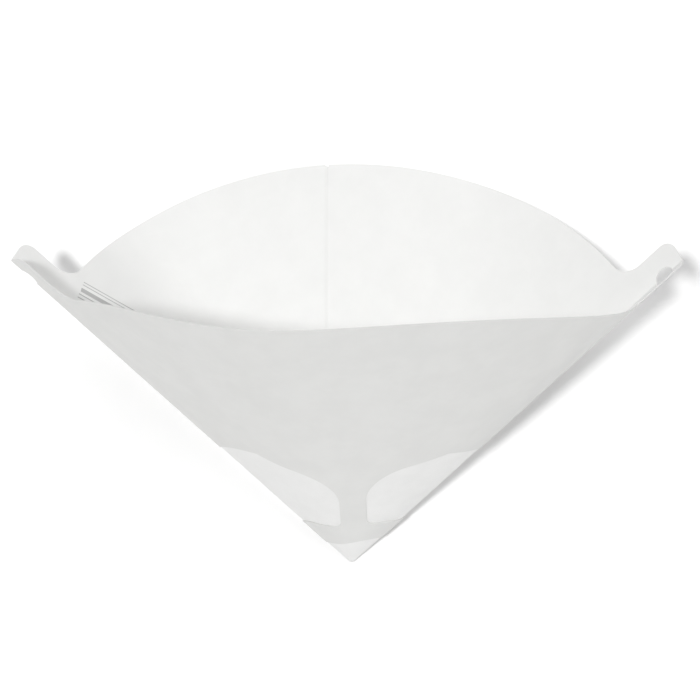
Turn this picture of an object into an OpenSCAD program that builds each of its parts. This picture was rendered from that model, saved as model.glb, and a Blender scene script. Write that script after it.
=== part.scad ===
// Paint strainer cone: one die-cut paper sheet, folded along two creases and
// glued into a cone, with a gauze filter cone glued inside it.
// Each sheet is described flat, by the distances from the tip at which it
// starts and ends at every angle, and is then folded round the opened shape.
// The tip points to -Y, and the cone lies on its back wall on the floor, with
// the origin in the middle of the lap's outer face, on which it rests.

/* [Paper sheet] */
// Length of the wall from the tip to the rim, measured on the paper
rim_radius = 133; // [110:0.5:162]
// Thickness of the paper
paper_t = 0.3; // [0.2:0.05:0.6]
// Distance from the tip where the paper stops and only gauze goes on
paper_start = 13.5; // [8:0.5:17]
// Width of the glued lap seam in the middle of the back wall
lap_w = 15.2; // [8:0.2:18.4]
// Open line beside the free edge of the lap's inner layer
lap_line = 0.3; // [0.2:0.05:0.6]
// Width of the bend that carries the outer layer past that line
lap_bend = 1.2; // [0.6:0.1:3]
// How far the outer layer of the lap stays below the rim
lap_short = 0.6; // [0.2:0.1:3]
// How far the cut pattern sits to the right of the middle of the front wall
cut_shift = 1.7; // [-3:0.1:3]

/* [Ears] */
// Width of a hanging ear, laid flat
ear_w = 22; // [18:0.2:27]
// How far an ear reaches beyond the rim
ear_reach = 19.5; // [15:0.5:26]
// Radius of the ear's outer corners
ear_corner = 4.5; // [1:0.5:8]
// Radius of the hollow between ear and rim
ear_fillet = 8; // [3:0.5:12]
// Diameter of the hanging hole
hole_d = 6.8; // [4:0.2:8.2]
// Paper left between the hanging hole and the end of the ear
hole_edge = 4.4; // [3:0.2:6]

/* [Windows] */
// Distance from the tip to the lower edge of a window
window_low = 24; // [20:0.5:30]
// Distance from the tip to the upper edge of a window
window_top = 62; // [50:0.5:76]
// How far the straight part of the upper edge lies below its round part
window_drop = 9; // [4:0.5:12]
// Radius of the window's upper corner beside the rib
window_corner = 15; // [6:0.5:16]
// Radius of the window's lower corner beside the rib
window_toe = 3; // [1:0.5:5]
// Width of the rib between the windows on the front wall
front_rib = 8.6; // [5:0.2:14]
// Paper kept beside each edge of the lap seam, on the back wall
seam_margin = 1.2; // [0.6:0.2:4]

/* [Gauze filter] */
// Thickness of the gauze
gauze_t = 0.12; // [0.1:0.01:0.3]
// Width of the glued band above the windows
glue_band = 8; // [4:0.5:14]
// Distance from the tip's point to the pressed seal that closes the gauze
seal_reach = 1.1; // [0.8:0.1:2]

/* [Opened shape] */
// Distance of the drawn section from the tip
section_y = 100; // [80:1:125]
// Left crease on the section: across, up
left_crease = [-109, 40];
// Right crease on the section: across, up
right_crease = [105, 51.5];
// Top of the front wall on the section: across, up
crown = [-14, 140];
// Half the width of the flat that the back wall rests on
flat_half = 18; // [14:0.5:22]
// Lean of the front wall over the left and right crease, in degrees
front_lean = [27, -7];
// Slope of the back wall below the left and right crease, in degrees
back_slope = [43, 45];
// Pull of the front wall's curve at a crease and at the crown
front_pull = [45, 53];
// Pull of the back wall's curve on the left and on the right
back_pull = [58, 34];
// Facets of each curved quarter of the cone
quarter_facets = 14; // [6:1:20]

/* [Hidden] */
paper_colour = [0.93, 0.93, 0.93];
gauze_colour = [0.89, 0.89, 0.88];
// Step between drawn angles on a round edge, in degrees
fine_step = 1.2;
// Overlap that lets two layers join
join = 0.05;

// Opened shape: points of the closed section, from the middle of the back
// round by the left crease, the crown and the right crease
function blend(a, b, t) = a * (1 - t) + b * t;
function curve_point(p, t) = len(p) == 1 ? p[0]
    : curve_point([for (k = [1:len(p) - 1]) blend(p[k - 1], p[k], t)], t);
function curve(a, b, c, d) =
    [for (k = [1:quarter_facets]) curve_point([a, b, c, d], k / quarter_facets)];
function pull(angle, length) = [sin(angle), cos(angle)] * length;

flat_left = [-flat_half, 0];
flat_right = [flat_half, 0];
section = concat(
    [[0, 0], flat_left],
    curve(flat_left, flat_left + pull(-90, back_pull[0]),
          left_crease + pull(90 + back_slope[0], back_pull[0]), left_crease),
    curve(left_crease, left_crease + pull(front_lean[0], front_pull[0]),
          crown + pull(-90, front_pull[1]), crown),
    curve(crown, crown + pull(90, front_pull[1]),
          right_crease + pull(-front_lean[1], front_pull[0]), right_crease),
    curve(right_crease, right_crease + pull(-90 - back_slope[1], back_pull[1]),
          flat_right + pull(90, back_pull[1]), flat_right),
    [[0, 0]]);
facets = len(section) - 1;

// Folding: the fold lines from the tip through the section, their angles on
// the flat sheet, and the directions across, along and out of each facet
function unit(v) = v / norm(v);
function sum_to(list, n) = n == 0 ? 0 : list[n - 1] + sum_to(list, n - 1);
fold = [for (p = section) unit([p[0], section_y, p[1]])];
facet_angle = [for (i = [0:facets - 1]) 2 * asin(norm(fold[i + 1] - fold[i]) / 2)];
fold_angle = [for (i = [0:facets]) sum_to(facet_angle, i)];
across = [for (i = [0:facets - 1]) unit(fold[i + 1] - fold[i])];
along = [for (i = [0:facets - 1]) unit(fold[i + 1] + fold[i])];
outward = [for (i = [0:facets - 1]) cross(across[i], along[i])];
left_angle = fold_angle[1 + quarter_facets];
right_angle = fold_angle[1 + 3 * quarter_facets];
full_angle = fold_angle[facets];
front_middle = (left_angle + right_angle) / 2;

// Sizes that follow from the ones above
ear_end = rim_radius + ear_reach;
hole_radius = ear_end - hole_edge - hole_d / 2;
back_rib = lap_w + 2 * (lap_line + lap_bend + seam_margin);
gauze_radius = window_top + glue_band;
// Distance from the tip to the middle of the lap, which rests on the floor
rest_y = (window_low + rim_radius - lap_short) / 2;
// Angles nearer than this count as one
tiny = 1e-6;

// A point of the folded sheet, from its angle on the flat sheet, its distance
// from the tip, and its height over the paper's inner face
function sheet_point(sheet_angle, reach, height) =
    let (angle = (sheet_angle + full_angle) % full_angle,
         i = max([for (k = [0:facets - 1]) if (k == 0 || fold_angle[k] <= angle + tiny) k]),
         on_fold = angle - fold_angle[i] <= tiny,
         turn = angle - fold_angle[i] - facet_angle[i] / 2,
         way = on_fold ? fold[i] : along[i] * cos(turn) + across[i] * sin(turn),
         out = on_fold ? unit(outward[(i + facets - 1) % facets] + outward[i]) : outward[i])
    way * reach + out * height / (out * outward[i]);

// Angles at which a sheet is drawn: sorted, none twice
function sorted(v) = len(v) < 2 ? v
    : let (mid = v[floor(len(v) / 2)])
      concat(sorted([for (a = v) if (a < mid - tiny) a]), [mid],
             sorted([for (a = v) if (a > mid + tiny) a]));
function steps(from, to) = let (n = ceil(abs(to - from) / fine_step))
    [for (k = [0:n]) from + (to - from) * k / n];
function steps_between(bounds) =
    [for (k = [1:len(bounds) - 1]) each steps(bounds[k - 1], bounds[k])];

// Bearing of a point from the tip, measured from the upright, and the
// distances at which a ray of one bearing enters and leaves a circle
function bearing(point) = atan2(point[0], point[1]);
function ray(angle) = [sin(angle), cos(angle)];
function half_chord(angle, centre, radius) =
    sqrt(max(radius * radius - centre * centre + pow(ray(angle) * centre, 2), 0));
function enters(angle, centre, radius) =
    ray(angle) * centre - half_chord(angle, centre, radius);
function leaves(angle, centre, radius) =
    ray(angle) * centre + half_chord(angle, centre, radius);

// Outer edge of the paper: the rim, and at each crease an ear with round
// corners and hollow flanks
creases = [left_angle, right_angle];
ear_side = ear_w / 2;
corner_at = [ear_side - ear_corner, ear_end - ear_corner];
flank_at = [ear_side + ear_fillet,
            sqrt(pow(rim_radius + ear_fillet, 2) - pow(ear_side + ear_fillet, 2))];
ear_bounds = [0, bearing([corner_at[0], ear_end]), bearing([ear_side, corner_at[1]]),
              bearing([ear_side, flank_at[1]]), bearing(flank_at)];
function off_crease(angle) = min([for (c = creases) abs(angle - c)]);
function paper_edge(off) =
    off < ear_bounds[1] ? ear_end / cos(off)
    : off < ear_bounds[2] ? leaves(off, corner_at, ear_corner)
    : off < ear_bounds[3] ? ear_side / sin(off)
    : off < ear_bounds[4] ? enters(off, flank_at, ear_fillet)
    : rim_radius;

// Hanging hole, punched through the crease: its near and far edge
hole_at = [0, hole_radius];
hole_reach = asin(hole_d / 2 / hole_radius);
function hole_gap(off) =
    off < hole_reach - tiny
        ? [enters(off, hole_at, hole_d / 2), leaves(off, hole_at, hole_d / 2)]
    : off < hole_reach + tiny ? [1, 1] * hole_radius * cos(hole_reach)
    : [1, 1] * (rim_radius - ear_fillet);

// Half a window, from the rib's edge at one distance off the upright to the
// crease; its round edges have their centre shifted off the tip
function turn_at(side) =
    [side + window_corner, window_top - window_drop - window_corner];
function toe_at(side, shift) =
    [side + window_toe,
     sqrt(pow(window_low + window_toe, 2) - pow(side + window_toe - shift, 2))];
function window_bounds(side, shift) =
    let (turn = turn_at(side), toe = toe_at(side, shift), centre = [shift, 0])
    [bearing(turn) - asin(window_corner / norm(turn)),
     bearing([side, turn[1]]),
     bearing([side, toe[1]]),
     bearing(centre + (toe - centre) * window_low / (window_low + window_toe)),
     bearing([turn[0], window_top - window_drop])];
function window_edges(off, side, shift) =
    let (turn = turn_at(side), bounds = window_bounds(side, shift), centre = [shift, 0],
         touch = norm(turn) * cos(bearing(turn) - bounds[0]))
    off < bounds[0] + tiny ? [touch, touch]
    : [off < bounds[1] ? enters(off, turn, window_corner)
       : off < bounds[2] ? side / sin(off)
       : off < bounds[3] ? enters(off, toe_at(side, shift), window_toe)
       : leaves(off, centre, window_low),
       off < bounds[4] ? leaves(off, turn, window_corner)
       : min((window_top - window_drop) / cos(off), leaves(off, centre, window_top))];

// The four half windows: angle of the rib, direction and angle to the crease,
// distance of the rib's edge, and shift of the round edges
half_windows = [
    [0, 1, left_angle, back_rib / 2, -cut_shift],
    [front_middle, -1, front_middle - left_angle, front_rib / 2 - cut_shift, -cut_shift],
    [front_middle, 1, right_angle - front_middle, front_rib / 2 + cut_shift, cut_shift],
    [full_angle, -1, full_angle - right_angle, back_rib / 2, cut_shift]];
function window_gap(angle) =
    let (found = [for (w = half_windows)
             let (off = (angle - w[0]) * w[1])
             if (off > window_bounds(w[3], w[4])[0] - tiny && off < w[2] + tiny)
                 window_edges(off, w[3], w[4])])
    len(found) > 0 ? found[0] : [window_low, window_low];

paper_angles = sorted(concat(
    [for (i = [0:facets - 1]) fold_angle[i]],
    [for (w = half_windows)
        for (off = steps_between(concat(window_bounds(w[3], w[4]), w[2])))
            w[0] + w[1] * off],
    [for (c = creases) for (side = [-1, 1]) for (off = steps_between(ear_bounds))
        c + side * off],
    [for (c = creases) for (k = [-5:5]) c + hole_reach * sin(18 * k)]));

// Solid sheet between two heights over the paper's inner face, all the way
// round the cone. Each row holds the distances at which the sheet starts and
// ends, in turn, at one angle; where two neighbours are equal, the sheet has
// no edge there. A plug closes the start, up to the given distance from the tip.
module sheet(angles, rows, low, high, plug = 0) {
    n = len(angles);
    m = len(rows[0]);
    function own(j, s) = s > 0 && rows[j][s] == rows[j][s - 1] ? own(j, s - 1) : s;
    function id(j, s, top) = ((j % n) * m + own(j % n, s)) * 2 + top;
    function gap(j, s) = rows[j % n][s] != rows[j % n][s + 1];
    function is_edge(j, s) = s == 0 ? plug == 0
        : s == m - 1 || gap(j, s - (s + 1) % 2) || gap(j + 1, s - (s + 1) % 2);
    function halves(a, b, c, d) = [[a, b, c], [a, c, d]];
    start = rows[0][0];
    middle = [for (k = [0:2]) (min([for (f = fold) f[k]]) + max([for (f = fold) f[k]])) / 2];
    points = concat(
        [for (j = [0:n - 1]) for (s = [0:m - 1]) for (height = [low, high])
            sheet_point(angles[j], rows[j][s], height)],
        [middle * plug, middle * start]);
    quads = [for (j = [0:n - 1]) each concat(
        [for (s = [0:2:m - 2]) each concat(
            halves(id(j, s, 0), id(j + 1, s, 0), id(j + 1, s + 1, 0), id(j, s + 1, 0)),
            halves(id(j, s, 1), id(j, s + 1, 1), id(j + 1, s + 1, 1), id(j + 1, s, 1)))],
        [for (s = [0:m - 1]) if (is_edge(j, s)) each s % 2 == 0
            ? halves(id(j, s, 0), id(j, s, 1), id(j + 1, s, 1), id(j + 1, s, 0))
            : halves(id(j, s, 0), id(j + 1, s, 0), id(j + 1, s, 1), id(j, s, 1))],
        plug > 0 ? [[id(j + 1, 0, 0), id(j, 0, 0), 2 * n * m],
                    [id(j, 0, 1), id(j + 1, 0, 1), 2 * n * m + 1]] : [])];
    polyhedron(points, [for (q = quads) if (q[0] != q[1] && q[1] != q[2] && q[2] != q[0]) q]);
}

module paper_sheet() {
    sheet(paper_angles,
          [for (a = paper_angles)
              let (off = off_crease(a))
              concat(paper_start, window_gap(a), hole_gap(off), paper_edge(off))],
          0, paper_t);
}

// Outer layer of the lap seam, glued flat under the middle of the back wall
module lap_layer() {
    translate([-lap_w / 2 - lap_line - lap_bend, 0, -2 * paper_t])
        linear_extrude(paper_t + join)
            difference() {
                square([lap_w + lap_line + lap_bend, rim_radius - lap_short]);
                square([lap_w + lap_line + lap_bend, window_low]);
            }
}

// The line along which the inner layer of the lap ends on the left
module lap_opening() {
    flat_from = (lap_w / 2 + lap_line) * section_y / flat_half;
    translate([-lap_w / 2 - lap_line, max(flat_from, gauze_radius + glue_band), -paper_t - join])
        cube([lap_line, rim_radius, 2 * paper_t]);
}

module paper_cone() {
    color(paper_colour)
        difference() {
            union() {
                paper_sheet();
                lap_layer();
            }
            lap_opening();
        }
}

module gauze_filter() {
    angles = [for (i = [0:facets - 1]) fold_angle[i]];
    color(gauze_colour)
        sheet(angles, [for (a = angles) [seal_reach, gauze_radius]],
              -gauze_t, 0, 2.5 * seal_reach);
}

// The lap's outer layer rests on the floor
module on_floor() {
    translate([0, -rest_y, 2 * paper_t]) children();
}

on_floor() paper_cone();
on_floor() gauze_filter();
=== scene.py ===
"""Paint strainer cone: one folded sheet of white board with a gauze cone glued inside.

Both pieces are laid out flat, in polar form from the cone's tip, and folded round
one closed section. Lengths are in millimetres until a mesh is made.
"""

import bpy
import numpy as np
from bpy.props import FloatProperty, FloatVectorProperty
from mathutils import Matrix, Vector


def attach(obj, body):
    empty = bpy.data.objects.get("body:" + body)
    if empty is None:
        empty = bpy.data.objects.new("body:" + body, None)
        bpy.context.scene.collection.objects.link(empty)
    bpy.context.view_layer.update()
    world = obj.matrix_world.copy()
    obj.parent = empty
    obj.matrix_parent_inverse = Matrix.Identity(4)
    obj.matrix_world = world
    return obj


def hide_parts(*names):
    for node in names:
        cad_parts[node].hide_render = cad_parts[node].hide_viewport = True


bl_info = {
    "name": "Paint strainer cone",
    "version": (1, 0, 0),
    "blender": (4, 5, 0),
    "location": "View3D > Sidebar > Strainer",
    "description": "Builds a folded board strainer cone with its gauze filter",
    "category": "Object",
}

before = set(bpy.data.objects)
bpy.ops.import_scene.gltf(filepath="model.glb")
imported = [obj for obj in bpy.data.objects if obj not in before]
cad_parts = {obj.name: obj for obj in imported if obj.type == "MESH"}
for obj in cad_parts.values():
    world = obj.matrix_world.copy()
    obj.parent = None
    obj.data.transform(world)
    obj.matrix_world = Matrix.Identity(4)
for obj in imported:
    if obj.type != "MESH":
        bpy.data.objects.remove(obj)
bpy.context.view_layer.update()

MM = 0.001

# Opened shape: the section on the plane SECTION_Y in front of the tip, as (x, z)
SECTION_Y = 100.0
LEFT_CREASE = np.array([-109.0, 40.0])
RIGHT_CREASE = np.array([105.0, 51.5])
CROWN = np.array([-14.0, 140.0])
# Half of the flat strip in the middle of the back wall
FLAT_HALF = 18.0
# Directions in which the walls leave the left and the right crease, in degrees: the
# front wall off the upright, and the back wall off the level
FRONT_LEAN = (27.0, -7.0)
BACK_SLOPE = (43.0, 45.0)
# Lengths of the curves' handles at the creases and at the crown, and at the left and
# the right half of the back wall
FRONT_PULL = (45.0, 53.0)
BACK_PULL = (58.0, 34.0)
CREASE_ROUND = 1.1
# Middle of the lap, measured from the tip, and height of the inner face over the floor
REST_Y, LAP_HEIGHT = 78.2, 0.6

# Board: where it ends and starts, as distances from the tip
RIM = 133.0
PAPER_START = 13.5
# How much further the slanted cut at the tip starts on the right than in the middle
TIP_SLANT = 1.9
# Ears: half width, end, outer corner's radius, and the hollow's radius beside the rim
EAR_SIDE, EAR_END, EAR_CORNER, EAR_FILLET = 11.0, 152.5, 4.5, 8.0
# Punched hole: radius, board beyond it, and distance of its middle from the tip
HOLE_R, HOLE_MARGIN = 3.4, 4.4
HOLE_REACH = EAR_END - HOLE_MARGIN - HOLE_R
# Lap: half width, play beside the inner layer, width of the bend, how much shorter the
# outer layer is at the rim, and the glue between the layers
LAP_HALF, LAP_LINE, LAP_BEND, LAP_SHORT, LAP_GAP = 7.6, 0.3, 1.2, 0.6, 0.01
# Near the tip, the share of the plain wall's first angle that the lap takes up, and the
# largest sine that its columns are worked out from
LAP_SHARE, LAP_SINE = 0.97, 0.9
# Rows of points from the tip to the windows, from there to the holes, and to the rim
BOARD_ROWS = (6, 22, 5)

# Windows: lower edge, upper edge at the crease and straight upper edge, as distances
# from the tip, radii of the upper and lower corner beside the rib, half widths of the
# ribs, and how far the round edges' centre lies off the tip
WINDOW_LOW, WINDOW_TOP, WINDOW_STRAIGHT = 24.0, 62.0, 53.0
WINDOW_CORNER, WINDOW_TOE = 15.0, 3.0
FRONT_RIB_HALF, BACK_RIB_HALF = 4.3, 10.6
CUT_SHIFT = 1.7

# Gauze: where it starts and ends, as distances from the tip
GAUZE_START, GAUZE_END = 1.1, 70.0
# Depth of the pressed seal that closes the gauze at the tip
GAUZE_SEAL = 1.5
# Glue between the gauze and the board, and the cut piece's width and length in metres
GAUZE_GAP, GAUZE_FLAT = 0.004, (0.140, 0.0896)

# Smallest length that counts, smallest slit that has cut edges, steps to a millimetre
# at which points are welded, and smallest angle that is divided by
TINY, OPEN, WELD, SAFE = 1e-9, 1e-6, 1e4, 1e-4


# Folding
class Fold:
    """The opened shape as tables over the angle on the flat sheet.

    way is the unit line from the tip through the section, out is the unit normal
    on the outside of the wall, and the angle is the sum of the angles between
    neighbouring lines, because a sheet keeps its angles when it is folded.
    """

    def __init__(self, steps=160):
        def pull(degrees, length):
            turn = np.radians(degrees)
            return np.array([np.sin(turn), np.cos(turn)]) * length

        left_flat, right_flat = np.array([-FLAT_HALF, 0.0]), np.array([FLAT_HALF, 0.0])
        quarters = [
            (left_flat, left_flat + pull(-90, BACK_PULL[0]),
             LEFT_CREASE + pull(90 + BACK_SLOPE[0], BACK_PULL[0]), LEFT_CREASE),
            (LEFT_CREASE, LEFT_CREASE + pull(FRONT_LEAN[0], FRONT_PULL[0]),
             CROWN + pull(-90, FRONT_PULL[1]), CROWN),
            (CROWN, CROWN + pull(90, FRONT_PULL[1]),
             RIGHT_CREASE + pull(-FRONT_LEAN[1], FRONT_PULL[0]), RIGHT_CREASE),
            (RIGHT_CREASE, RIGHT_CREASE + pull(-90 - BACK_SLOPE[1], BACK_PULL[1]),
             right_flat + pull(90, BACK_PULL[1]), right_flat),
        ]
        t = np.linspace(0, 1, steps)[:, None]
        curves = [(1 - t) ** 3 * a + 3 * t * (1 - t) ** 2 * b + 3 * t * t * (1 - t) * c
                  + t ** 3 * d for a, b, c, d in quarters]
        flat = np.linspace(0, 1, 12)[:, None]
        back_left = left_flat * flat
        back_right = right_flat * (1 - flat)
        left, right = self.rounded(curves[0], curves[1]), self.rounded(curves[2], curves[3])
        section = np.vstack([back_left[:-1], left, right[1:], back_right[1:]])
        line = np.column_stack([section[:, 0], np.full(len(section), SECTION_Y), section[:, 1]])
        self.way = line / np.linalg.norm(line, axis=1, keepdims=True)
        step = np.linalg.norm(np.diff(self.way, axis=0), axis=1)
        self.angle = np.concatenate([[0], np.cumsum(2 * np.arcsin(step / 2))])
        self.full = self.angle[-1]
        looped = np.vstack([self.way[-2], self.way, self.way[1]])
        across = looped[2:] - looped[:-2]
        out = np.cross(across, self.way)
        self.out = out / np.linalg.norm(out, axis=1, keepdims=True)
        self.creases = [self.angle_of(LEFT_CREASE), self.angle_of(RIGHT_CREASE)]

    @staticmethod
    def rounded(before, after):
        """Two curves that meet in a corner, joined by a short parabola across it."""
        corner = before[-1]
        before = before[np.linalg.norm(before - corner, axis=1) > CREASE_ROUND]
        after = after[np.linalg.norm(after - corner, axis=1) > CREASE_ROUND]
        t = np.linspace(0, 1, 11)[1:-1, None]
        bend = (1 - t) ** 2 * before[-1] + 2 * t * (1 - t) * corner + t * t * after[0]
        return np.vstack([before, bend, after])

    def angle_of(self, corner):
        """Angle of the line that passes nearest to a corner of the section."""
        line = np.array([corner[0], SECTION_Y, corner[1]])
        return self.angle[np.argmax(self.way @ (line / np.linalg.norm(line)))]

    def place(self, angle, reach, height):
        """Points of the folded sheet: reach along the wall's line at that angle, and
        height along its outer normal, over the board's inner face."""
        turn = np.mod(angle, self.full)
        way, out = (np.stack([np.interp(turn, self.angle, table[:, k]) for k in range(3)], -1)
                    for table in (self.way, self.out))
        way /= np.linalg.norm(way, axis=-1, keepdims=True)
        out /= np.linalg.norm(out, axis=-1, keepdims=True)
        lift = np.array([0.0, -REST_Y, LAP_HEIGHT])
        return way * np.asarray(reach)[..., None] + out * np.asarray(height)[..., None] + lift


fold = Fold()


# Outline on the flat sheet
def bearing(x, y):
    """Angle of a point of the flat sheet from the upright."""
    return np.arctan2(x, y)


def crossing(angle, x, y, radius, side):
    """Distance from the tip at which a ray enters (side -1) or leaves (side 1) a circle."""
    along = np.sin(angle) * x + np.cos(angle) * y
    return along + side * np.sqrt(np.maximum(radius ** 2 - x * x - y * y + along ** 2, 0))


def rim_edge(off):
    """Outer edge at an angle off a crease: ear end, round corner, side, hollow, rim."""
    corner = (EAR_SIDE - EAR_CORNER, EAR_END - EAR_CORNER)
    hollow_x = EAR_SIDE + EAR_FILLET
    hollow = (hollow_x, np.sqrt((RIM + EAR_FILLET) ** 2 - hollow_x ** 2))
    bounds = ear_bounds()
    safe = np.maximum(off, SAFE)
    return np.select(
        [off < bounds[1], off < bounds[2], off < bounds[3], off < bounds[4]],
        [EAR_END / np.cos(off), crossing(off, *corner, EAR_CORNER, 1),
         EAR_SIDE / np.sin(safe), crossing(off, *hollow, EAR_FILLET, -1)], RIM)


def ear_bounds():
    """Angles off a crease at which the ear's outline changes from one line to the next."""
    inner = EAR_SIDE - EAR_CORNER
    hollow_x = EAR_SIDE + EAR_FILLET
    hollow_y = np.sqrt((RIM + EAR_FILLET) ** 2 - hollow_x ** 2)
    return [0, bearing(inner, EAR_END), bearing(EAR_SIDE, EAR_END - EAR_CORNER),
            bearing(EAR_SIDE, hollow_y), bearing(hollow_x, hollow_y)]


HOLE_TURN = np.arcsin(HOLE_R / HOLE_REACH)


def hole_edges(off):
    """Near and far edge of the punched hole; both are equal where there is none."""
    closed = np.interp(off, [HOLE_TURN, ear_bounds()[4]],
                       [HOLE_REACH * np.cos(HOLE_TURN), RIM - EAR_FILLET])
    inside = off < HOLE_TURN - TINY
    return [np.where(inside, crossing(off, 0, HOLE_REACH, HOLE_R, side), closed)
            for side in (-1, 1)]


def half_windows():
    """Angle of each rib's middle, direction and angle to the crease, distance of the
    rib's edge, and shift of the round edges' centre."""
    left, right = fold.creases
    middle = (left + right) / 2
    return [(0.0, 1, left, BACK_RIB_HALF, -CUT_SHIFT),
            (middle, -1, middle - left, FRONT_RIB_HALF - CUT_SHIFT, -CUT_SHIFT),
            (middle, 1, right - middle, FRONT_RIB_HALF + CUT_SHIFT, CUT_SHIFT),
            (fold.full, -1, fold.full - right, BACK_RIB_HALF, CUT_SHIFT)]


def window_marks(side, shift):
    """Centres of a half window's two round corners beside the rib, the distance of the
    upper one, and the angles at which the outline changes from one line to the next."""
    turn = (side + WINDOW_CORNER, WINDOW_STRAIGHT - WINDOW_CORNER)
    reach = np.hypot(*turn)
    toe_x = side + WINDOW_TOE
    toe_y = np.sqrt((WINDOW_LOW + WINDOW_TOE) ** 2 - (toe_x - shift) ** 2)
    part = WINDOW_LOW / (WINDOW_LOW + WINDOW_TOE)
    return turn, (toe_x, toe_y), reach, [
        bearing(*turn) - np.arcsin(WINDOW_CORNER / reach), bearing(side, turn[1]),
        bearing(side, toe_y), bearing(shift + (toe_x - shift) * part, toe_y * part),
        bearing(turn[0], WINDOW_STRAIGHT)]


def window_edges(angle):
    """Lower and upper edge of the windows; both are equal where there is none."""
    near, far = np.full(angle.shape, np.nan), np.full(angle.shape, np.nan)
    closed_at, closed = [], []
    for rib, way, to_crease, side, shift in half_windows():
        turn, toe, reach, marks = window_marks(side, shift)
        off = (angle - rib) * way
        safe = np.maximum(off, SAFE)
        low = np.select([off < marks[1], off < marks[2], off < marks[3]],
                        [crossing(off, *turn, WINDOW_CORNER, -1), side / np.sin(safe),
                         crossing(off, *toe, WINDOW_TOE, -1)],
                        crossing(off, shift, 0, WINDOW_LOW, 1))
        high = np.where(off < marks[4], crossing(off, *turn, WINDOW_CORNER, 1),
                        np.minimum(WINDOW_STRAIGHT / np.cos(off),
                                   crossing(off, shift, 0, WINDOW_TOP, 1)))
        inside = (off > marks[0] + TINY) & (off < to_crease + TINY)
        near, far = np.where(inside, low, near), np.where(inside, high, far)
        closed_at.append(rib + way * marks[0])
        closed.append(reach * np.cos(bearing(*turn) - marks[0]))
    order = np.argsort(closed_at)
    shut = np.interp(angle, np.array(closed_at)[order], np.array(closed)[order])
    return np.where(np.isnan(near), shut, near), np.where(np.isnan(far), shut, far)


# Angle of the plain wall's first column, just inside the flat strip
FIRST_COLUMN = np.arctan(FLAT_HALF / SECTION_Y) - 0.002


def board_angles(step=np.radians(0.55)):
    """Angles of the board's straight columns, with one at each change of outline."""
    parts = [np.arange(FIRST_COLUMN, fold.full - FIRST_COLUMN, step), fold.angle]
    for rib, way, to_crease, side, shift in half_windows():
        marks = window_marks(side, shift)[3]
        parts.append(rib + way * np.array([*marks, to_crease]))
        parts.append(rib + way * (marks[0] + np.linspace(0, 1, 40) ** 2 * (marks[3] - marks[0])))
    for crease in fold.creases:
        bounds = ear_bounds()
        fine = np.concatenate([np.linspace(a, b, 9) for a, b in zip(bounds, bounds[1:])])
        hole = HOLE_TURN * np.sin(np.linspace(0, np.pi / 2, 13))
        for off in (fine, hole):
            parts += [crease + off, crease - off]
    angles = np.unique(np.round(np.concatenate(parts), 7))
    return angles[(angles > FIRST_COLUMN) & (angles < fold.full - FIRST_COLUMN)]


def lap_angle(offset, reach):
    """Angle of a lap column: parallel to the middle of the back wall at that offset,
    and a straight line to the tip where the wall is narrower than the lap."""
    cap = FIRST_COLUMN * LAP_SHARE * offset / (LAP_HALF + LAP_LINE + LAP_BEND)
    turn = np.arcsin(np.clip(offset / np.maximum(reach, TINY), -LAP_SINE, LAP_SINE))
    return np.sign(offset) * np.minimum(np.abs(turn), np.abs(cap))


# Meshes
def new_piece(name, points, faces, uv, side, sharp_degrees):
    """A mesh object at the origin from numpy arrays, welded where points coincide.

    uv is the flat sheet's own x and y in metres, and side runs from 0 on the
    cone's inside to 1 on its outside.
    """
    key = np.round(points * WELD).astype(np.int64)
    _, first, back = np.unique(key, axis=0, return_index=True, return_inverse=True)
    tris = back.reshape(-1)[faces]
    good = (tris[:, 0] != tris[:, 1]) & (tris[:, 1] != tris[:, 2]) & (tris[:, 2] != tris[:, 0])
    tris = tris[good]
    used, tris = np.unique(tris, return_inverse=True)
    tris = tris.reshape(-1, 3)
    pick = first[used]
    mesh = bpy.data.meshes.new(name)
    mesh.vertices.add(len(pick))
    mesh.vertices.foreach_set("co", (points[pick] * MM).astype(np.float32).ravel())
    mesh.loops.add(tris.size)
    mesh.loops.foreach_set("vertex_index", tris.ravel().astype(np.int32))
    mesh.polygons.add(len(tris))
    mesh.polygons.foreach_set("loop_start", np.arange(0, tris.size, 3, dtype=np.int32))
    mesh.update(calc_edges=True)
    mesh.uv_layers.new(name="flat_sheet").data.foreach_set(
        "uv", uv[pick][tris.ravel()].astype(np.float32).ravel())
    mesh.attributes.new("side", "FLOAT", "POINT").data.foreach_set(
        "value", side[pick].astype(np.float32))
    mesh.validate()
    mesh.shade_smooth()
    mesh.set_sharp_from_angle(angle=np.radians(sharp_degrees))
    piece = bpy.data.objects.new(name, mesh)
    bpy.context.scene.collection.objects.link(piece)
    return piece


def quads(a, b, c, d):
    """Two triangles for each cell of four corner arrays, which run clockwise round the
    cell as seen from its front."""
    return np.concatenate([np.stack([a, c, b], -1).reshape(-1, 3),
                           np.stack([a, d, c], -1).reshape(-1, 3)])


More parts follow.
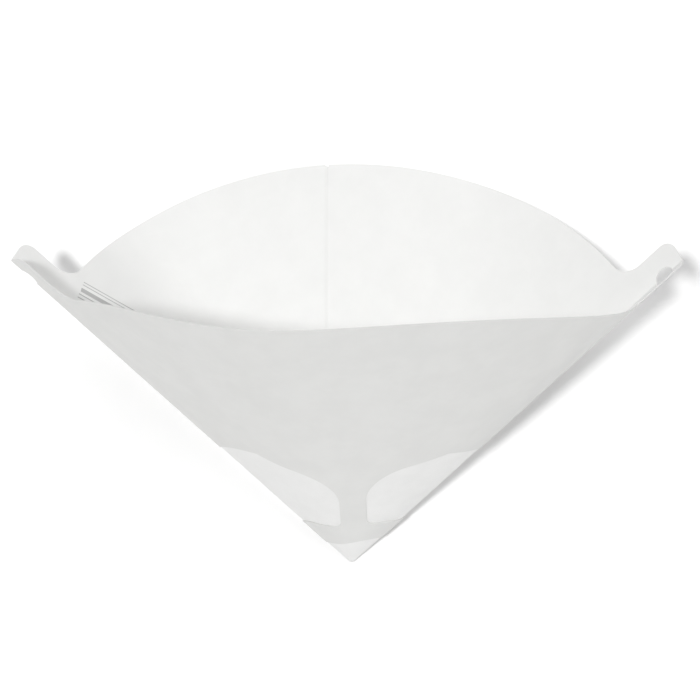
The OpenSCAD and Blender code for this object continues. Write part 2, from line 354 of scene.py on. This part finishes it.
def shell(angle, reach, low, high, open_start, open_end, open_sides):
    """A solid wall on a grid of columns and rows: inner face, outer face, and the cut
    edges at the first row, the last row and the two sides where they are open.
    angle, reach, low and high are arrays of columns by rows."""
    columns, rows = angle.shape
    flat = angle - fold.creases[0]
    uv = np.stack([reach * np.sin(flat), reach * np.cos(flat)], -1) * MM
    points = np.concatenate([fold.place(angle, reach, h).reshape(-1, 3) for h in (low, high)])
    index = np.arange(columns * rows).reshape(columns, rows)
    outer = index + columns * rows
    a, b, c, d = index[:-1, :-1], index[1:, :-1], index[1:, 1:], index[:-1, 1:]
    faces = [quads(a, b, c, d), quads(*(k + columns * rows for k in (a, d, c, b)))]
    for row, is_open, turn in ((0, open_start, 1), (rows - 1, open_end, -1)):
        keep = np.flatnonzero(is_open[:-1] | is_open[1:])
        ring = [index[keep, row], outer[keep, row], outer[keep + 1, row], index[keep + 1, row]]
        faces.append(quads(*ring[::turn]))
    if open_sides:
        for column, turn in ((0, -1), (columns - 1, 1)):
            ring = [index[column, :-1], outer[column, :-1], outer[column, 1:], index[column, 1:]]
            faces.append(quads(*ring[::turn]))
    side = np.repeat([0.0, 1.0], columns * rows)
    return points, np.concatenate(faces), np.tile(uv.reshape(-1, 2), (2, 1)), side


def joined(shells):
    """Several shells as one set of arrays."""
    starts = np.cumsum([0] + [len(s[0]) for s in shells[:-1]])
    return (np.concatenate([s[0] for s in shells]),
            np.concatenate([s[1] + n for s, n in zip(shells, starts)]),
            np.concatenate([s[2] for s in shells]), np.concatenate([s[3] for s in shells]))


def lap_columns(thickness):
    """Columns of the lap's two layers as offsets from the middle of the back wall, from
    the outer layer's free edge to the bend beside it, and from the bend to the inner
    layer's free edge. Between them stand the steps outwards of the outer columns, which
    fall smoothly to 0 over the bend."""
    bend = LAP_HALF + LAP_LINE
    outer = np.concatenate([np.linspace(-LAP_HALF, bend, 12),
                            np.linspace(bend, bend + LAP_BEND, 6)[1:]])
    share = np.clip((bend + LAP_BEND - outer) / LAP_BEND, 0, 1)
    down = share * share * (3 - 2 * share) * (thickness + LAP_GAP)
    return outer, down, np.linspace(-bend - LAP_BEND, LAP_HALF, 14)


def board_shells(thickness):
    """The board as three rings of wall: from the slanted cut at the tip to the windows,
    from there to the punched holes, and on to the rim. Columns run from the lap's outer
    free edge, over a short blend, round the plain wall, and over a second blend to the
    inner free edge. Rows stand at equal shares of each ring."""
    outer, down, inner = lap_columns(thickness)
    angles = board_angles()
    blend = np.linspace(0, 1, 7)[1:-1]
    counts = [len(outer), len(blend), len(angles), len(blend), len(inner)]
    total = sum(counts)
    lap_out, blend_out, wall, blend_in, lap_in = (
        slice(end - count, end) for count, end in zip(counts, np.cumsum(counts)))

    def over_laps(values):
        return np.pad(values, (wall.start, total - wall.stop), mode="edge")

    def angle_at(reach):
        share = blend[:, None]
        angle = np.empty_like(reach)
        angle[wall] = angles[:, None]
        angle[lap_out] = lap_angle(outer[:, None], reach[lap_out])
        angle[blend_out] = (lap_angle(outer[-1], reach[blend_out]) * (1 - share)
                            + angles[0] * share)
        angle[blend_in] = (angles[-1] * (1 - share)
                           + (fold.full + lap_angle(inner[0], reach[blend_in])) * share)
        angle[lap_in] = fold.full + lap_angle(inner[:, None], reach[lap_in])
        return angle

    off = np.min([np.abs(angles - crease) for crease in fold.creases], axis=0)
    window, hole = ([over_laps(edge) for edge in edges]
                    for edges in (window_edges(angles), hole_edges(off)))
    under = down / down.max()
    start = np.full(total, PAPER_START)
    start[wall] -= TIP_SLANT * np.sin((sum(fold.creases) / 2 - angles) * np.pi / fold.full * 2)
    start[lap_out] = PAPER_START + (WINDOW_LOW - PAPER_START) * under
    end = over_laps(rim_edge(off))
    end[lap_out] = RIM - LAP_SHORT * under
    low = np.zeros((total, 1))
    low[lap_out, 0] = down

    everywhere = np.ones(total, bool)
    window_open, hole_open = (far - near > OPEN for near, far in (window, hole))
    rings = [(start, window[0], everywhere, window_open),
             (window[1], hole[0], window_open, hole_open),
             (hole[1], end, hole_open, everywhere)]
    shells = []
    for (near, far, first, last), rows in zip(rings, BOARD_ROWS):
        reach = near[:, None] + (far - near)[:, None] * np.linspace(0, 1, rows)
        inner_face = np.broadcast_to(low, reach.shape)
        shells.append(shell(angle_at(reach), reach, inner_face, inner_face + thickness,
                            first, last, True))
    return shells


# Settings
class BoardSettings(bpy.types.PropertyGroup):
    thickness: FloatProperty(
        name="Thickness", description="Thickness of the board, in millimetres", default=0.3,
        min=0.1, max=0.6)
    inner_colour: FloatVectorProperty(
        name="Inner face", description="Colour of the coated inner face", subtype="COLOR",
        size=3, min=0, max=1, default=(0.846, 0.847, 0.838))
    # The outer face is set a little darker than the inner face: partly the uncoated board,
    # partly painted shade for the front wall, which faces away from the light.
    outer_colour_and_shade: FloatVectorProperty(
        name="Outer face", description="Colour of the uncoated outer face", subtype="COLOR",
        size=3, min=0, max=1, default=(0.825, 0.826, 0.812))
    ink_colour: FloatVectorProperty(
        name="Ink", description="Colour of the ruled lines on the inner face", subtype="COLOR",
        size=3, min=0, max=1, default=(0.42, 0.42, 0.42))


class GauzeSettings(bpy.types.PropertyGroup):
    thickness: FloatProperty(
        name="Thickness", description="Thickness of the gauze, in millimetres", default=0.12,
        min=0.05, max=0.3)
    pitch: FloatProperty(
        name="Thread pitch", description="Distance between two threads", default=0.0003,
        min=0.0001, max=0.001, subtype="DISTANCE", unit="LENGTH")
    colour: FloatVectorProperty(
        name="Gauze", description="Colour of the nylon threads", subtype="COLOR", size=3,
        min=0, max=1, default=(0.965, 0.965, 0.955))


# Key light: the side that its shadows fall to, in degrees from +X, and its softness
KEY_TURN, KEY_SOFTNESS = -6.0, 7.0
# Fill lights: name, strength, and in degrees the bearing from +X, height and softness
FILLS = [("fill_back", 0.7, 85.0, 42.0, 50.0), ("fill_right", 0.5, -5.0, 25.0, 40.0),
         ("fill_front", 0.55, -100.0, 14.0, 40.0)]
# Stage in metres: half the floor's side, its height just under the board, the camera's
# place, its lens and film width in millimetres, and the nearest distance it shows
FLOOR_HALF, FLOOR_HEIGHT = 4.0, -0.0001
CAMERA_PLACE, CAMERA_LENS, CAMERA_FILM, CAMERA_NEAR = (-0.00057, -0.0071, 0.9), 138.9, 36.0, 0.05


class StageSettings(bpy.types.PropertyGroup):
    key_strength: FloatProperty(
        name="Key light", description="Strength of the soft sun overhead", default=1.6,
        min=0, max=10)
    sky_strength: FloatProperty(
        name="Sky light", description="Strength of the even light from all round",
        default=0.27, min=0, max=5)
    key_tilt: FloatProperty(
        name="Key tilt", description="Angle of the key light off the vertical",
        default=np.radians(13.5), subtype="ANGLE", unit="ROTATION")


# Shader nodes
class Sock:
    """A shader socket on which Python arithmetic adds Math nodes."""

    def __init__(self, maker, socket):
        self.maker, self.socket = maker, socket

    def maths(self, operation, *values):
        return self.maker.node("ShaderNodeMath", {"operation": operation}, *values)

    def __add__(self, other):
        return self.maths("ADD", self, other)

    def __sub__(self, other):
        return self.maths("SUBTRACT", self, other)

    def __rsub__(self, other):
        return self.maths("SUBTRACT", other, self)

    def __mul__(self, other):
        return self.maths("MULTIPLY", self, other)

    def __lt__(self, other):
        return self.maths("LESS_THAN", self, other)

    def __gt__(self, other):
        return self.maths("GREATER_THAN", self, other)

    def __abs__(self):
        return self.maths("ABSOLUTE", self)

    __radd__, __rmul__ = __add__, __mul__


class Maker:
    """Adds nodes to one material or world and links or sets their sockets."""

    def __init__(self, owner):
        owner.use_nodes = True
        self.owner, self.tree = owner, owner.node_tree
        self.tree.nodes.clear()

    def node(self, kind, settings=None, *values, output=0, **named):
        node = self.tree.nodes.new(kind)
        for key, value in (settings or {}).items():
            setattr(node, key, value)
        for key, value in [*enumerate(values), *named.items()]:
            socket = node.inputs[key if isinstance(key, int) else key.replace("_", " ")]
            if isinstance(value, Sock):
                self.tree.links.new(value.socket, socket)
            elif value is not None:
                socket.default_value = value
        return Sock(self, node.outputs[output]) if node.outputs else None

    def noise(self, vector, scale, detail, roughness):
        return self.node("ShaderNodeTexNoise", None, Vector=vector, Scale=scale, Detail=detail,
                         Roughness=roughness)

    def mix(self, factor, a, b):
        """A colour between a and b; both are colour links or RGB values."""
        node = self.tree.nodes.new("ShaderNodeMix")
        node.data_type = "RGBA"
        for key, value in ((0, factor), (6, a), (7, b)):
            if isinstance(value, Sock):
                self.tree.links.new(value.socket, node.inputs[key])
            else:
                node.inputs[key].default_value = value if key == 0 else (*value[:3], 1)
        return Sock(self, node.outputs[2])

    def ramp(self, value, low, high):
        """0 below low and 1 above high, with a smooth rise between them."""
        settings = {"interpolation_type": "SMOOTHSTEP", "clamp": True}
        return self.node("ShaderNodeMapRange", settings, value, low, high, 0.0, 1.0)

    def shows(self):
        """1 for the rays that see the background: camera, glossy and transmission rays."""
        camera, glossy, through = (
            self.node("ShaderNodeLightPath", output=f"Is {kind} Ray")
            for kind in ("Camera", "Glossy", "Transmission"))
        settings = {"operation": "ADD", "use_clamp": True}
        return self.node("ShaderNodeMath", settings, camera + glossy, through)

    def finish(self, **sockets):
        shader = self.node("ShaderNodeBsdfPrincipled", None, **sockets)
        self.node("ShaderNodeOutputMaterial", None, Surface=shader)
        return self.owner


# Ruled lines on the inner face at the left: where each starts on the flat sheet, in
# millimetres across and along the left crease, and half its width
RULED = [(-14.4, 128.7, 0.16), (-13.25, 128.5, 0.16), (-11.1, 128.1, 0.8), (-9.05, 128.0, 0.2),
         (-7.6, 127.8, 0.2)]
RULED_WAY = (-0.281, -0.960)
RULED_LENGTH = 62.0
# Board finish: scales of the clouds and the fibres, and how the fibres are stretched
CLOUD_SCALE, FIBRE_SCALE, FIBRE_STRETCH = 90.0, 2600.0, (1.0, 0.35, 1.0)
# Darkest cloud on the inner and the outer face, cover of the fibres and of the ink
INNER_CLOUD, OUTER_CLOUD, FIBRE_COVER, INK_COVER = 0.975, 0.965, 0.10, 0.9
# Tone of the raw cut edge and of the creases, as a share of the outer face's colour;
# cover on the creases, where the darkening is partly wear and partly painted shade in the
# pressed lines; and the two half widths between which a crease fades, in millimetres
RAW_EDGE, CREASE_WEAR_AND_SHADE, CREASE_FADE = 0.82, 0.35, (0.15, 0.55)
# Half of the blur at a ruled line's edges, in millimetres
INK_BLUR = 0.06
# Roughness of the inner face, and what the outer face and the fibres add
BOARD_ROUGH, OUTER_ROUGH, FIBRE_ROUGH = 0.62, 0.12, 0.1
# Gauze finish: scale of the clouds, darkest cloud, darkest thread and its cover
GAUZE_CLOUDS, GAUZE_CLOUD, THREAD_DARK, THREAD_COVER = 160.0, 0.97, 0.93, 0.25
# Roughness of the gauze and what its clouds add, and how much a gap still covers
GAUZE_ROUGH, GAUZE_ROUGH_CLOUDS, GAP_COVER = 0.5, 0.15, 0.94
# Floor: its colour, and what is added to it for the rays that show the background
FLOOR_COLOUR, FLOOR_LIFT = 0.9, 0.17


def ruled_mask(make, u, v):
    """1 on the ruled lines: across a line its half width, along it its length."""
    mask = None
    for x, y, half in RULED:
        along = (u - x) * RULED_WAY[0] + (v - y) * RULED_WAY[1]
        off = abs((u - x) * RULED_WAY[1] - (v - y) * RULED_WAY[0])
        across = 1 - make.ramp(off, half - INK_BLUR, half + INK_BLUR)
        line = across * (along > 0) * (along < RULED_LENGTH)
        mask = line if mask is None else mask + line
    return mask


def crease_mask(make, u, v):
    """1 on the two pressed creases, which are lines from the tip on the flat sheet."""
    turn = fold.creases[1] - fold.creases[0]
    mask = None
    for across, along in ((u, v), (u * np.cos(turn) - v * np.sin(turn),
                                   u * np.sin(turn) + v * np.cos(turn))):
        line = (1 - make.ramp(abs(across), *CREASE_FADE)) * (along > 0)
        mask = line if mask is None else mask + line
    return mask


def board_material(settings):
    """White board: a coated inner face with ruled lines, a plainer outer face, set a little
    darker partly as painted shade, faint clouds and fibres, pressed creases darkened partly
    as painted shade, and a raw cut edge."""
    make = Maker(bpy.data.materials.new("board"))
    place = make.node("ShaderNodeTexCoord", output=3)
    uv = make.node("ShaderNodeUVMap", {"uv_map": "flat_sheet"})
    side = make.node("ShaderNodeAttribute", {"attribute_name": "side"}, output=2)
    split = [make.node("ShaderNodeSeparateXYZ", None, uv, output=k) * 1000 for k in (0, 1)]
    outside = make.ramp(side, 0.35, 0.65)
    clouds = make.noise(place, CLOUD_SCALE, 4.0, 0.6)
    stretched = make.node("ShaderNodeMapping", None, Vector=place, Scale=FIBRE_STRETCH)
    fibres = make.noise(stretched, FIBRE_SCALE, 3.0, 0.65)
    cloud = make.ramp(clouds, 0.3, 0.7)
    inner, outer = tuple(settings.inner_colour), tuple(settings.outer_colour_and_shade)
    darker = [tuple(c * k for c in colour)
              for colour, k in ((inner, INNER_CLOUD), (outer, OUTER_CLOUD))]
    inner_shade = make.mix(cloud, darker[0], inner)
    outer_shade = make.mix(cloud, darker[1], outer)
    ink = ruled_mask(make, *split) * (1 - outside)
    inner_shade = make.mix(ink * INK_COVER, inner_shade, tuple(settings.ink_colour))
    colour = make.mix(outside, inner_shade, outer_shade)
    colour = make.mix(make.ramp(fibres, 0.35, 0.75) * FIBRE_COVER, colour, darker[1])
    crease = crease_mask(make, *split)
    cut = make.ramp(side, 0.02, 0.2) * (1 - make.ramp(side, 0.8, 0.98))
    raw = tuple(c * RAW_EDGE for c in outer)
    # Creases and cut edges take the raw tone: on the creases this is partly wear and partly
    # painted shade in the pressed lines.
    colour = make.mix(crease * CREASE_WEAR_AND_SHADE + cut * (0.5 + fibres * 0.5), colour, raw)
    grain = make.node("ShaderNodeBump", None, Strength=0.35, Distance=0.00004,
                      Height=fibres + crease * (0.5 - outside))
    wave = make.node("ShaderNodeBump", None, Strength=0.25, Distance=0.0004, Height=clouds,
                     Normal=grain)
    rough = outside * OUTER_ROUGH + BOARD_ROUGH + fibres * FIBRE_ROUGH
    return make.finish(Base_Color=colour, Roughness=rough, Normal=wave, IOR=1.45)


def gauze_material(settings):
    """Plain woven nylon: two sets of threads on the flat sheet's own coordinates, that
    pass over and under each other, with small clear gaps between them."""
    make = Maker(bpy.data.materials.new("gauze"))
    uv = make.node("ShaderNodeUVMap", {"uv_map": "flat_sheet"})
    place = make.node("ShaderNodeTexCoord", output=3)
    turns = 2 * np.pi / settings.pitch
    waves = [make.node("ShaderNodeMath", {"operation": "SINE"},
                       make.node("ShaderNodeSeparateXYZ", None, uv, output=k) * turns)
             for k in (0, 1)]
    weave = waves[0] * waves[1]
    gap = make.ramp(waves[0] * waves[0] + waves[1] * waves[1], 0.15, 0.5)
    clouds = make.noise(place, GAUZE_CLOUDS, 3.0, 0.55)
    colour = tuple(settings.colour)
    cloud, thread = (tuple(c * k for c in colour) for k in (GAUZE_CLOUD, THREAD_DARK))
    shade = make.mix(make.ramp(clouds, 0.3, 0.7), cloud, colour)
    shade = make.mix(make.ramp(weave, -1.0, 1.0) * THREAD_COVER, shade, thread)
    bump = make.node("ShaderNodeBump", None, Strength=0.4, Distance=0.00005, Height=weave)
    return make.finish(Base_Color=shade, Roughness=clouds * GAUZE_ROUGH_CLOUDS + GAUZE_ROUGH,
                       Alpha=gap * (1 - GAP_COVER) + GAP_COVER, Normal=bump, IOR=1.5)


def floor_material():
    """Matt white floor that shows pure white to the camera and keeps its shadows."""
    make = Maker(bpy.data.materials.new("floor"))
    base, lift = (make.node("ShaderNodeBsdfDiffuse", None, Color=(k, k, k, 1))
                  for k in (FLOOR_COLOUR, FLOOR_LIFT))
    both = make.node("ShaderNodeAddShader", None, base, lift)
    shader = make.node("ShaderNodeMixShader", None, make.shows(), base, both)
    make.node("ShaderNodeOutputMaterial", None, Surface=shader)
    return make.owner


def studio_world(sky_strength):
    """Even white light from all round, behind a background that shows pure white."""
    make = Maker(bpy.data.worlds.new("studio"))
    sky, white = (make.node("ShaderNodeBackground", None, (1, 1, 1, 1), strength)
                  for strength in (sky_strength, 1.0))
    shader = make.node("ShaderNodeMixShader", None, make.shows(), sky, white)
    make.node("ShaderNodeOutputWorld", None, Surface=shader)
    return make.owner


# Operators
class STRAINER_OT_board(bpy.types.Operator):
    """Build the folded board sheet with its ears, windows and lap"""

    bl_idname = "strainer.board"
    bl_label = "Board sheet"

    def execute(self, context):
        settings = context.scene.strainer_board
        piece = new_piece("board_sheet", *joined(board_shells(settings.thickness)),
                          sharp_degrees=35)
        piece.data.materials.append(board_material(settings))
        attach(piece, "root")
        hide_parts("paper_cone")
        return {"FINISHED"}


class STRAINER_OT_gauze(bpy.types.Operator):
    """Build the gauze cone that is glued inside the board"""

    bl_idname = "strainer.gauze"
    bl_label = "Gauze cone"

    def execute(self, context):
        settings = context.scene.strainer_gauze
        angles = np.append(fold.angle[::3], fold.full)
        angles = np.unique(np.concatenate([angles, fold.creases]))
        s = np.linspace(0, 1, 70)
        rows = GAUZE_START + (GAUZE_END - GAUZE_START) * s ** 1.1
        reach = np.broadcast_to(np.append(GAUZE_START, rows), (len(angles), len(s) + 1))
        angle = np.broadcast_to(angles[:, None], reach.shape)
        high = np.full(reach.shape, -GAUZE_GAP)
        closed = np.zeros(len(angles), bool)
        opened = np.ones(len(angles), bool)
        low = high - settings.thickness
        points, *rest = shell(angle, reach, low, high, closed, opened, False)
        tip = fold.place(0, 0, 0)
        for face, depth in zip(points.reshape(2, *reach.shape, 3), (GAUZE_SEAL, 0.0)):
            middle = face[:-1, 1].mean(axis=0)
            face[:, 0] = middle + (middle - tip) / np.linalg.norm(middle - tip) * depth
        piece = new_piece("gauze_cone", points, *rest, sharp_degrees=60)
        piece.data.materials.append(gauze_material(settings))
        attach(piece, "root")
        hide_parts("gauze_filter")
        area = fold.full * (GAUZE_END * MM) ** 2 / 2
        return {"FINISHED"}


class STRAINER_OT_stage(bpy.types.Operator):
    """Add the floor, the lights, the world and the camera"""

    bl_idname = "strainer.stage"
    bl_label = "Stage"

    def execute(self, context):
        settings = context.scene.strainer_stage
        scene = context.scene
        corners = np.array([[-1, -1], [1, -1], [1, 1], [-1, 1]]) * FLOOR_HALF
        mesh = bpy.data.meshes.new("floor")
        mesh.from_pydata([(x, y, FLOOR_HEIGHT) for x, y in corners], [], [(0, 1, 2, 3)])
        floor = bpy.data.objects.new("floor", mesh)
        scene.collection.objects.link(floor)
        floor.data.materials.append(floor_material())

        lamps = [("key", settings.key_strength, 180.0 + KEY_TURN,
                  90.0 - np.degrees(settings.key_tilt), KEY_SOFTNESS), *FILLS]
        for name, strength, turn, height, softness in lamps:
            sun = bpy.data.lights.new(name, "SUN")
            sun.energy, sun.angle = strength, np.radians(softness)
            lamp = bpy.data.objects.new(name, sun)
            turn, height = np.radians(turn), np.radians(height)
            from_lamp = Vector((-np.cos(turn) * np.cos(height), -np.sin(turn) * np.cos(height),
                                -np.sin(height)))
            lamp.rotation_euler = from_lamp.to_track_quat("-Z", "Y").to_euler()
            scene.collection.objects.link(lamp)

        scene.world = studio_world(settings.sky_strength)

        lens = bpy.data.cameras.new("camera")
        lens.lens, lens.sensor_width, lens.clip_start = CAMERA_LENS, CAMERA_FILM, CAMERA_NEAR
        camera = bpy.data.objects.new("camera", lens)
        camera.location = CAMERA_PLACE
        scene.collection.objects.link(camera)
        scene.camera = camera
        scene.view_settings.view_transform = "Standard"
        return {"FINISHED"}


class STRAINER_PT_panel(bpy.types.Panel):
    """Steps that build the strainer cone, with their sizes and colours"""

    bl_label = "Strainer cone"
    bl_idname = "STRAINER_PT_panel"
    bl_space_type = "VIEW_3D"
    bl_region_type = "UI"
    bl_category = "Strainer"

    def draw(self, context):
        for group, operator in STEPS:
            box = self.layout.box()
            box.operator(operator)
            settings = getattr(context.scene, group)
            for name in settings.__annotations__:
                box.prop(settings, name)


STEPS = [("strainer_board", "strainer.board"), ("strainer_gauze", "strainer.gauze"),
         ("strainer_stage", "strainer.stage")]
GROUPS = {"strainer_board": BoardSettings, "strainer_gauze": GauzeSettings,
          "strainer_stage": StageSettings}
CLASSES = [*GROUPS.values(), STRAINER_OT_board, STRAINER_OT_gauze, STRAINER_OT_stage,
           STRAINER_PT_panel]


def register():
    for cls in CLASSES:
        bpy.utils.register_class(cls)
    for name, cls in GROUPS.items():
        setattr(bpy.types.Scene, name, bpy.props.PointerProperty(type=cls))


def unregister():
    for name in GROUPS:
        delattr(bpy.types.Scene, name)
    for cls in reversed(CLASSES):
        bpy.utils.unregister_class(cls)


def main():
    register()
    bpy.ops.strainer.board()
    bpy.ops.strainer.gauze()
    bpy.ops.strainer.stage()
    bpy.context.view_layer.update()


if __name__ == "__main__":
    main()
